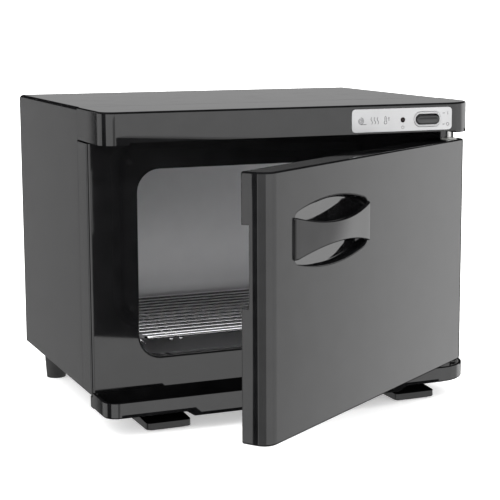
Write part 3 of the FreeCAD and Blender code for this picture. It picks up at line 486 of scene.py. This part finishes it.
def paint_liner_floor_shade(material):
    """Painted shade: darkens the lowest part of the lining, under the rack."""
    kit = Nodes(material.node_tree)
    shader = material.node_tree.nodes["Principled BSDF"]
    where = kit.add("ShaderNodeTexCoord").outputs["Object"]
    height = kit.add("ShaderNodeSeparateXYZ", Vector=where).outputs["Z"]
    unshaded = kit.span(height, *LOW_SHADE_Z, 0.0, 1.0, smooth=True)
    before = shader.inputs["Base Color"].links[0].from_socket
    kit.put(shader, "Base Color", kit.mix(unshaded, LOW_SHADE_COLOUR, before))


# ---- mesh helpers -------------------------------------------------------------------------------------
def new_piece(name, verts, faces, look, body, replaces=()):
    """Mesh piece from points in row metres, riding on its body."""
    mesh = bpy.data.meshes.new(name)
    mesh.from_pydata([tuple(v) for v in verts], [], faces)
    mesh.validate()
    shape = bmesh.new()
    shape.from_mesh(mesh)
    bmesh.ops.remove_doubles(shape, verts=shape.verts, dist=1e-6)
    bmesh.ops.recalc_face_normals(shape, faces=shape.faces)
    shape.to_mesh(mesh)
    shape.free()
    mesh.shade_smooth()
    piece = bpy.data.objects.new(name, mesh)
    scene.collection.objects.link(piece)
    mesh.materials.append(looks[look])
    register(piece, body, replaces)
    return piece


def register(piece, body, replaces=()):
    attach(piece, body)
    if replaces:
        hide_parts(*replaces)


def loft(rings, close_along=False, caps=True):
    """Faces through rings that have the same number of points."""
    count = len(rings[0])
    verts = [point for ring in rings for point in ring]
    faces = []
    last = len(rings) if close_along else len(rings) - 1
    for i in range(last):
        a, b = i * count, ((i + 1) % len(rings)) * count
        for j in range(count):
            k = (j + 1) % count
            faces.append((a + j, a + k, b + k, b + j))
    if caps and not close_along:
        faces.append(tuple(reversed(range(count))))
        faces.append(tuple(range(len(verts) - count, len(verts))))
    return verts, faces


def gather(parts):
    verts, faces = [], []
    for new_verts, new_faces in parts:
        start = len(verts)
        verts += new_verts
        faces += [tuple(start + k for k in face) for face in new_faces]
    return verts, faces


def add_bevel(piece, width, segments=3, angle=35):
    bevel = piece.modifiers.new("edges", "BEVEL")
    bevel.width = width * MM
    bevel.segments = segments
    bevel.limit_method = "ANGLE"
    bevel.angle_limit = math.radians(angle)
    normals = piece.modifiers.new("normals", "WEIGHTED_NORMAL")
    normals.keep_sharp = True
    normals.weight = 100


def rounded_rectangle(half_w, half_h, radius, arc_points=10):
    """(u, v) points round the outline, counter-clockwise from the lower right corner."""
    points = []
    for corner, (su, sv) in enumerate(((1, -1), (1, 1), (-1, 1), (-1, -1))):
        for i in range(arc_points + 1):
            angle = math.radians(-90 + 90 * corner + 90 * i / arc_points)
            points.append((su * (half_w - radius) + radius * math.cos(angle),
                           sv * (half_h - radius) + radius * math.sin(angle)))
    return points


# ---- carried-over CAD nodes ---------------------------------------------------------------------------
CAD_LOOKS = {
    "black_gloss": "front_frame control_fascia door_shell handle_cup handle_grip",
    "tray_gloss": "drip_tray",
    "foot_gloss": "front_foot_left front_foot_right",
    "black_enamel": "outer_casing",
    "rear_enamel": "rear_panel",
    "black_moulding": "switch_housing cord_gland gland_nut door_inner_panel tray_guides",
    "zinc_steel": "base_pan strike_strip switch_pivot upper_hinge_pin lower_hinge_pin foot_screws "
                  "guide_screws rear_panel_screws door_screws",
    "dark_zinc": "lower_hinge_bracket upper_hinge_bracket hinge_screws",
    "silver_plate": "control_plate",
    "liner_aluminium": "chamber_liner",
    "chrome_wire": "wire_rack",
    "rubber": "door_gasket front_foot_pads rear_foot_left rear_foot_right gasket_magnet heater_mat",
    "white_nylon": "upper_hinge_bush lower_hinge_bush terminal_block thermostat",
    "insulation": "insulation_jacket door_insulation",
    "wire_sleeve": "wiring_harness thermal_fuse",
    "lamp": "indicator_lens indicator_led",
    "rocker": "rocker_switch",
}


def dress_cad():
    """Cleans each CAD mesh for shading and gives it its finish; shapes and places stay."""
    for look, names in CAD_LOOKS.items():
        for name in names.split():
            node = frame["nodes"][name]
            node.data.materials.clear()
            node.data.materials.append(looks[look])
            weld = node.modifiers.new("weld", "WELD")
            weld.merge_threshold = 1e-5
            flat = node.modifiers.new("flat", "DECIMATE")
            flat.decimate_type = "DISSOLVE"
            flat.angle_limit = math.radians(0.5)
            node.data.shade_smooth()
            add_bevel(node, 0.3, segments=2, angle=40)


# ---- door handle --------------------------------------------------------------------------------------
def bowl_half_height(u):
    """Half-height of the opening at u from its middle: arched crown, then rounded corners."""
    corner_x = CUP_HALF_W - CUP_CORNER_R
    reach = CUP_ARC_R - CUP_CORNER_R
    tilt = math.asin(corner_x / reach)
    u = min(abs(u), CUP_HALF_W)
    if u <= CUP_ARC_R * math.sin(tilt):
        return CUP_HALF_H - CUP_ARC_R + math.sqrt(CUP_ARC_R ** 2 - u ** 2)
    corner_z = CUP_HALF_H - CUP_ARC_R + reach * math.cos(tilt)
    return corner_z + math.sqrt(max(CUP_CORNER_R ** 2 - (u - corner_x) ** 2, 0.0))


def bowl_depth(t):
    """Depth at t, -1 at the free end and 1 at the hinge end: a ramp, then a rounded end wall."""
    depth = 0.1 + BOWL_DEPTH * (t + 1) / 2
    into_end = (t - BOWL_END_T) / (1 - BOWL_END_T)
    if into_end > 0:
        depth *= math.sqrt(max(1 - into_end ** 2, 0.0001))
    return depth


def bowl_wall(tall, depth):
    """(depth, height) points of the upper wall: rolled rim, straight wall, then a fillet into the back."""
    rim = min(RIM_R, depth * ROUND_SHARE)
    fillet = min(BOWL_FILLET, depth * ROUND_SHARE)
    quarter = [math.pi / 2 * i / 6 for i in range(7)]
    points = [(rim * (1 - math.cos(a)), tall - rim * math.sin(a)) for a in quarter]
    points += [(rim + (depth - rim - fillet) * i / 4, tall - rim) for i in range(1, 4)]
    points += [(depth - fillet + fillet * math.sin(a), tall - rim - fillet + fillet * math.cos(a))
               for a in quarter]
    return points


def finger_bowl():
    """Scoop behind the opening, with a rolled rim."""
    half = CUP_HALF_W - BOWL_CLEAR
    stations, back_points = 60, 10
    rows = []
    for i in range(stations + 1):
        t = -math.cos(math.pi * i / stations)
        depth = bowl_depth(t)
        upper = bowl_wall(bowl_half_height(t * half) - BOWL_CLEAR, depth)
        inner = upper[-1][1]
        middle = [(depth, inner * (1 - 2 * j / back_points)) for j in range(1, back_points)]
        section = upper + middle + [(y, -v) for y, v in reversed(upper)]
        rows.append([on_door(GRIP_X + t * half, DOOR_FRONT + y, GRIP_Z + v) for y, v in section])
    count = len(rows[0])
    verts = [point for row in rows for point in row]
    faces = []
    for i in range(stations):
        for j in range(count - 1):
            a = i * count + j
            faces.append((a, a + count, a + count + 1, a + 1))
    bowl = new_piece("finger_bowl", verts, faces, "black_gloss", "door", ("handle_cup",))
    outward = on_door(0, 0, 0) - on_door(0, 1, 0)
    if bowl.data.polygons[len(bowl.data.polygons) // 2].normal.dot(outward) < 0:
        bowl.data.flip_normals()
    wall = bowl.modifiers.new("wall", "SOLIDIFY")
    wall.thickness = 1.4 * MM
    wall.offset = -1.0


def grip_bar():
    """Bowed grip: waisted, with long rounded ends and softened edges."""
    half = CUP_HALF_W - 0.2
    ends = [half - GRIP_END_REACH * (1 - math.cos(math.pi / 2 * i / 10)) for i in range(11)]
    inner = half - GRIP_END_REACH
    stations = [-s for s in ends] + [inner * (2 * i / 40 - 1) for i in range(1, 40)] + list(reversed(ends))
    rings = []
    for s in stations:
        bow = (GRIP_BULGE - GRIP_END_PROUD) * (1 - (s / half) ** 2)
        front = DOOR_FRONT - GRIP_END_PROUD - bow
        back = front + GRIP_T
        into_end = max((abs(s) - inner) / GRIP_END_REACH, 0.0)
        front += GRIP_END_PROUD * (1 - math.sqrt(max(1 - into_end ** 2, 0.0)))
        tall = GRIP_WAIST_HALF + (GRIP_END_HALF - GRIP_WAIST_HALF) * (s / half) ** 2
        thick = (back - front) / 2
        section = rounded_rectangle(thick, tall, min(GRIP_EDGE_R, thick * 0.9), arc_points=5)
        rings.append([on_door(GRIP_X + s, front + thick + u, GRIP_Z + v) for u, v in section])
    verts, faces = loft(rings)
    new_piece("grip_bar", verts, faces, "black_gloss", "door", ("handle_grip",))


# ---- controls -----------------------------------------------------------------------------------------
def capsule(half_w, half_h):
    return rounded_rectangle(half_w, half_h, half_h - 0.01, arc_points=12)


def rocker_button():
    """Oblong rocker with a rounded brow and a shallow dish, leaned to its rest side."""
    joint = next(item for item in frame["joints"] if item["name"] == "power_switch")
    lean = Matrix.Rotation(math.radians(-joint["range_deg"][0] / 2), 3, "X")
    axis = Vector(joint["pos_m"])
    rings = []
    for inset, y in ROCKER_PROFILE:
        outline = capsule(ROCKER_HALF_W - inset, ROCKER_HALF_H - inset)
        rings.append([axis + lean @ (place(ROCKER_X + u, y, CONTROL_Z + v) - axis) for u, v in outline])
    verts, faces = loft(rings)
    new_piece("rocker_button", verts, faces, "rocker", "rocker", ("rocker_switch",))


def switch_bezel():
    """Slim silver rim that the rocker sits in."""
    outer, inner = Vector(BEZEL_OUTER), Vector(BEZEL_INNER)
    lip, ledge = Vector((BEZEL_CHAMFER, BEZEL_CHAMFER)), Vector((BEZEL_LEDGE, BEZEL_LEDGE))
    rings = []
    for half, y in ((outer, 1.0), (outer, -0.45), (outer - lip, -0.7), (inner + ledge, -0.7), (inner, -0.5),
                    (inner, 1.0)):
        rings.append([place(ROCKER_X + u, y, CONTROL_Z + v) for u, v in capsule(half.x, half.y)])
    verts, faces = loft(rings, close_along=True)
    new_piece("switch_bezel", verts, faces, "silver_plate", "cabinet")


def switch_body():
    """Dark hollow body behind the bezel."""
    rings = []
    for inset, y in BODY_PROFILE:
        half_w, half_h = (size - inset for size in BEZEL_OUTER)
        outline = rounded_rectangle(half_w, half_h, BODY_CORNER_R, arc_points=4)
        rings.append([place(ROCKER_X + u, y, CONTROL_Z + v) for u, v in outline])
    verts, faces = loft(rings, caps=False)
    body = new_piece("switch_body", verts, faces, "black_moulding", "cabinet",
                     ("switch_housing",))
    wall = body.modifiers.new("wall", "SOLIDIFY")
    wall.thickness = BODY_WALL * MM


def strokes(lines):
    """Raised ink strokes on the plate: each line is (width, [(x, z), ...])."""
    front, back = PLATE_FRONT - INK_PROUD, PLATE_FRONT + INK_SUNK
    parts = []
    for width, path in lines:
        rings = []
        for i, (x, z) in enumerate(path):
            ahead = path[min(i + 1, len(path) - 1)]
            behind = path[max(i - 1, 0)]
            along = Vector((ahead[0] - behind[0], ahead[1] - behind[1])).normalized()
            dx, dz = -along.y * width / 2, along.x * width / 2
            rings.append([place(x + dx, back, z + dz), place(x + dx, front, z + dz),
                          place(x - dx, front, z - dz), place(x - dx, back, z - dz)])
        parts.append(loft(rings))
    return gather(parts)


def arc_path(x, z, radius, first, last, steps=24):
    points = []
    for i in range(steps + 1):
        angle = math.radians(first + (last - first) * i / steps)
        points.append((x + radius * math.cos(angle), z + radius * math.sin(angle)))
    return points


def rolled_towel_sign():
    """A spiral of two and a half turns, with the loose end of the towel lying flat."""
    roll = []
    for i in range(61):
        angle = math.radians(-90 + 15 * i)
        radius = 0.5 + 2.5 * i / 60
        roll.append((TOWEL_SIGN_X + radius * math.cos(angle), CONTROL_Z + radius * math.sin(angle)))
    low = CONTROL_Z - 3.0
    return [(SIGN_PEN, roll), (SIGN_PEN, [(TOWEL_SIGN_X, low), (TOWEL_SIGN_X + 5.5, low)])]


def heat_waves_sign():
    lines = []
    for x in WAVE_SIGNS_X:
        wave = [(x + 0.7 * math.sin(math.radians(18 * i)), CONTROL_Z - 3.0 + 0.3 * i) for i in range(21)]
        lines.append((SIGN_PEN, wave))
    return lines


def thermometer_sign():
    """Open bulb, stem with a pointed top, and three marks of a scale."""
    x, z = THERMOMETER_X, CONTROL_Z
    stem = [(x - 0.7, z - 0.7), (x - 0.7, z + 3.0), (x, z + 3.6), (x + 0.7, z + 3.0), (x + 0.7, z - 0.7)]
    lines = [(SIGN_PEN, arc_path(x, z - 1.8, 1.35, 120, 420)), (SIGN_PEN, stem)]
    for i in range(3):
        mark_z = z + 0.2 + 1.2 * i
        lines.append((SCALE_PEN, [(x + 2.3, mark_z), (x + 4.0, mark_z)]))
    return lines


def power_sign():
    """Open ring with an upright stroke, under the lamp."""
    ring = arc_path(LAMP_X, CONTROL_Z - 6.4, 1.25, 125, 415)
    return [(POWER_PEN, ring), (POWER_PEN, [(LAMP_X, CONTROL_Z - 6.2), (LAMP_X, CONTROL_Z - 4.7)])]


def on_off_signs():
    """Beside the rocker: a dash above and one below, with I by the upper dash and O by the lower."""
    z = CONTROL_Z
    lines = [(DASH_PEN, [(x, z + 4.9 * side) for x in DASH_X]) for side in (1, -1)]
    lines.append((ON_OFF_PEN, [(ON_OFF_X, z + 3.5), (ON_OFF_X, z + 6.3)]))
    lines.append((ON_OFF_PEN, arc_path(ON_OFF_X, z - 4.9, 1.3, 0, 360)))
    return lines


def plate_marks():
    """Generic signs on the control plate."""
    lines = rolled_towel_sign() + heat_waves_sign() + thermometer_sign() + power_sign() + on_off_signs()
    verts, faces = strokes(lines)
    new_piece("plate_marks", verts, faces, "print", "cabinet")


# ---- fasteners ----------------------------------------------------------------------------------------
def screw_heads(name, to_row, places, face_y, outward, head_r, body, node, head_t=1.8):
    """Domed screw heads with a cross recess. outward is -1 when they face the front, 1 when the back."""
    segments, steps = 48, 14
    arm, slot = head_r * CROSS_ARM, head_r * CROSS_SLOT
    parts = []
    for x, z in places:
        spin = random.uniform(0, math.pi / 2)
        rings = []
        for r, h in ((head_r, -0.05), (head_r, head_t * HEAD_SHOULDER)):
            rings.append([(r * math.cos(a), r * math.sin(a), h) for a in
                          (2 * math.pi * k / segments for k in range(segments))])
        for i in range(steps + 1):
            r = head_r * math.cos(math.pi / 2 * i / steps * 0.98)
            ring = []
            for k in range(segments):
                a = 2 * math.pi * k / segments
                u, v = r * math.cos(a), r * math.sin(a)
                dome = math.sqrt(max(1 - (r / head_r) ** 2, 0.0))
                h = head_t * (HEAD_SHOULDER + (1 - HEAD_SHOULDER) * dome)
                if (abs(u) < slot and abs(v) < arm) or (abs(v) < slot and abs(u) < arm):
                    h -= head_t * CROSS_DEPTH * (1 - r / arm * 0.6)
                ring.append((u, v, h))
            rings.append(ring)
        turned = [[to_row(x + u * math.cos(spin) - v * math.sin(spin), face_y + outward * h,
                          z + u * math.sin(spin) + v * math.cos(spin)) for u, v, h in ring] for ring in rings]
        parts.append(loft(turned))
    verts, faces = gather(parts)
    new_piece(name, verts, faces, "zinc_steel", body, (node,))


def all_screws():
    rear = [(x, z) for x in (-160, 0, 160) for z in (36, 259)] + [(-160, 148), (160, 148)]
    screw_heads("rear_screw_heads", place, rear, CASE_D, 1, PANEL_SCREW_R, "cabinet", "rear_panel_screws")
    door = [(x, z) for x in (-127, 127) for z in (62.4, 206.0)]
    screw_heads("door_screw_heads", on_door, door, DOOR_BACK, 1, DOOR_SCREW_R, "door", "door_screws",
                head_t=DOOR_SCREW_T)


# ---- rack and seal ------------------------------------------------------------------------------------
def tube(path, radius, closed=False, segments=14):
    """Round wire along points in row metres, with trimmed flat ends when it is open."""
    count = len(path)
    rings = []
    for i, point in enumerate(path):
        ahead = path[(i + 1) % count] if closed else path[min(i + 1, count - 1)]
        behind = path[i - 1] if closed or i else path[0]
        along = (ahead - behind).normalized()
        side = along.cross(Vector((0, 0, 1))).normalized()
        rise = side.cross(along)
        shrink = [(0.0, 1.0)]
        if not closed and i in (0, count - 1):
            shrink = WIRE_END_TRIM
        steps = []
        for push, scale in shrink:
            middle = point + along * (radius * MM * push * (-1 if i == 0 else 1))
            steps.append([middle + radius * MM * scale * (math.cos(a) * side + math.sin(a) * rise)
                          for a in (2 * math.pi * k / segments for k in range(segments))])
        rings += reversed(steps) if i == 0 else steps
    return loft(rings, close_along=closed)


def chrome_rack():
    """Wire shelf: rim with rounded corners, cross rods welded to it, two pairs of runners and four legs."""
    x, y0, y1, z = RACK_HALF_W, RACK_Y0, RACK_Y1, RACK_Z
    outline = rounded_rectangle(x, (y1 - y0) / 2, RACK_CORNER_R, arc_points=8)
    rim = [place(u, (y0 + y1) / 2 + v, z) for u, v in outline]
    parts = [tube(rim, RACK_RIM_R, closed=True)]
    for i in range(1, RACK_RODS):
        y = y0 + i * (y1 - y0) / RACK_RODS
        parts.append(tube([place(-x, y, z), place(x, y, z)], RACK_ROD_R))
    low = z - RACK_ROD_R - RACK_RUNNER_DROP
    for runner_x in RACK_RUNNERS_X:
        parts.append(tube([place(runner_x, y0 - 1, low), place(runner_x, y1 + 1, low)], RACK_RUNNER_R))
    for side in (-1, 1):
        for leg_y in (y0 + RACK_LEG_INSET, y1 - RACK_LEG_INSET):
            top = place(side * x, leg_y, z)
            foot = place(side * (x - RACK_LEG_LEAN), leg_y, RACK_FOOT_Z)
            bend = top.lerp(foot, 0.5) + Vector((side * RACK_LEG_BOW * MM, 0, 0))
            parts.append(tube([top, bend, foot], RACK_LEG_R))
    verts, faces = gather(parts)
    new_piece("rack_wires", verts, faces, "chrome_wire", "rack", ("wire_rack",))


def folded_seal():
    """Rubber seal with a flange, two folds and a soft front bead, run round the back of the door."""
    deep = SEAL_FRONT - DOOR_BACK
    # One half of the section: mm from its middle, then share of its depth.
    profile = [(-4.0, 0.0), (-4.0, 0.10), (-3.3, 0.14), (-2.9, 0.20), (-3.3, 0.27), (-3.9, 0.34),
               (-3.3, 0.41), (-2.9, 0.48), (-3.3, 0.55), (-3.9, 0.62), (-4.0, 0.76), (-3.7, 0.88),
               (-2.8, 0.96), (-1.2, 1.0)]
    section = profile + [(-u, depth) for u, depth in reversed(profile)]
    half_w, half_h = SEAL_HALF_W - SEAL_W / 2, (SEAL_Z1 - SEAL_Z0 - SEAL_W) / 2
    middle_z = (SEAL_Z0 + SEAL_Z1) / 2
    radius = SEAL_R - SEAL_W / 2
    rings = []
    for corner, (su, sv) in enumerate(((1, -1), (1, 1), (-1, 1), (-1, -1))):
        for i in range(13):
            angle = math.radians(-90 + 90 * corner + 90 * i / 12)
            across = (math.cos(angle), math.sin(angle))
            x = su * (half_w - radius) + radius * across[0]
            z = middle_z + sv * (half_h - radius) + radius * across[1]
            rings.append([on_door(x + u * across[0], DOOR_BACK + depth * deep, z + u * across[1])
                          for u, depth in section])
    verts, faces = loft(rings, close_along=True)
    new_piece("folded_seal", verts, faces, "rubber", "door", ("door_gasket",))


# ---- assembly -----------------------------------------------------------------------------------------
add_camera()
add_world()
add_floor()
add_cards()
looks = make_finishes()
dull_trough(looks["tray_gloss"])
paint_liner_floor_shade(looks["liner_aluminium"])
dress_cad()
finger_bowl()
grip_bar()
rocker_button()
switch_bezel()
switch_body()
plate_marks()
all_screws()
chrome_rack()
folded_seal()

scene.view_settings.view_transform = "Standard"
